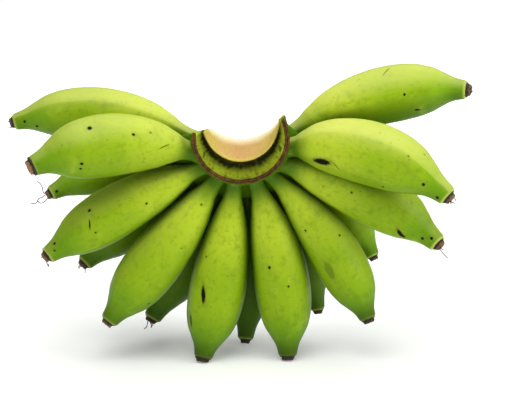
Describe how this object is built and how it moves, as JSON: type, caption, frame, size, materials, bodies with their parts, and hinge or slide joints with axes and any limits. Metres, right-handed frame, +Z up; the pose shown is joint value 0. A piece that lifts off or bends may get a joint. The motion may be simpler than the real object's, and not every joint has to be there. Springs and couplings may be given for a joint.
{
  "type": "hand of green bananas",
  "caption": "Hand of plump unripe green bananas fanned in two rows on one cut crown, standing on its fruit tips.",
  "frame": {"origin": "on the floor, under the middle of the hand's bounding box", "axes": "+X to the right across the fan, +Y from the front row towards the back row, +Z up"},
  "size_m": [0.3598, 0.1304, 0.2327],
  "materials": {
    "skin": "waxy green skin, satin",
    "crown": "green fibrous tissue with a cream cut face, matte",
    "scar": "brown cork, matte",
    "flower_end": "dry dark brown remnant, matte"
  },
  "bodies": {
    "root": {"crown": "crown", "bract_scar": "scar", "banana_front_1": "skin", "flower_end_front_1": "flower_end", "banana_front_2": "skin", "flower_end_front_2": "flower_end", "banana_front_3": "skin", "flower_end_front_3": "flower_end", "banana_front_4": "skin", "flower_end_front_4": "flower_end", "banana_front_5": "skin", "flower_end_front_5": "flower_end", "banana_front_6": "skin", "flower_end_front_6": "flower_end", "banana_front_7": "skin", "flower_end_front_7": "flower_end", "banana_front_8": "skin", "flower_end_front_8": "flower_end", "banana_back_1": "skin", "flower_end_back_1": "flower_end", "banana_back_2": "skin", "flower_end_back_2": "flower_end", "banana_back_3": "skin", "flower_end_back_3": "flower_end", "banana_back_4": "skin", "flower_end_back_4": "flower_end", "banana_back_5": "skin", "flower_end_back_5": "flower_end", "banana_back_6": "skin", "flower_end_back_6": "flower_end", "banana_back_7": "skin", "flower_end_back_7": "flower_end", "banana_back_8": "skin", "flower_end_back_8": "flower_end", "banana_back_9": "skin", "flower_end_back_9": "flower_end"}
  },
  "joints": []
}
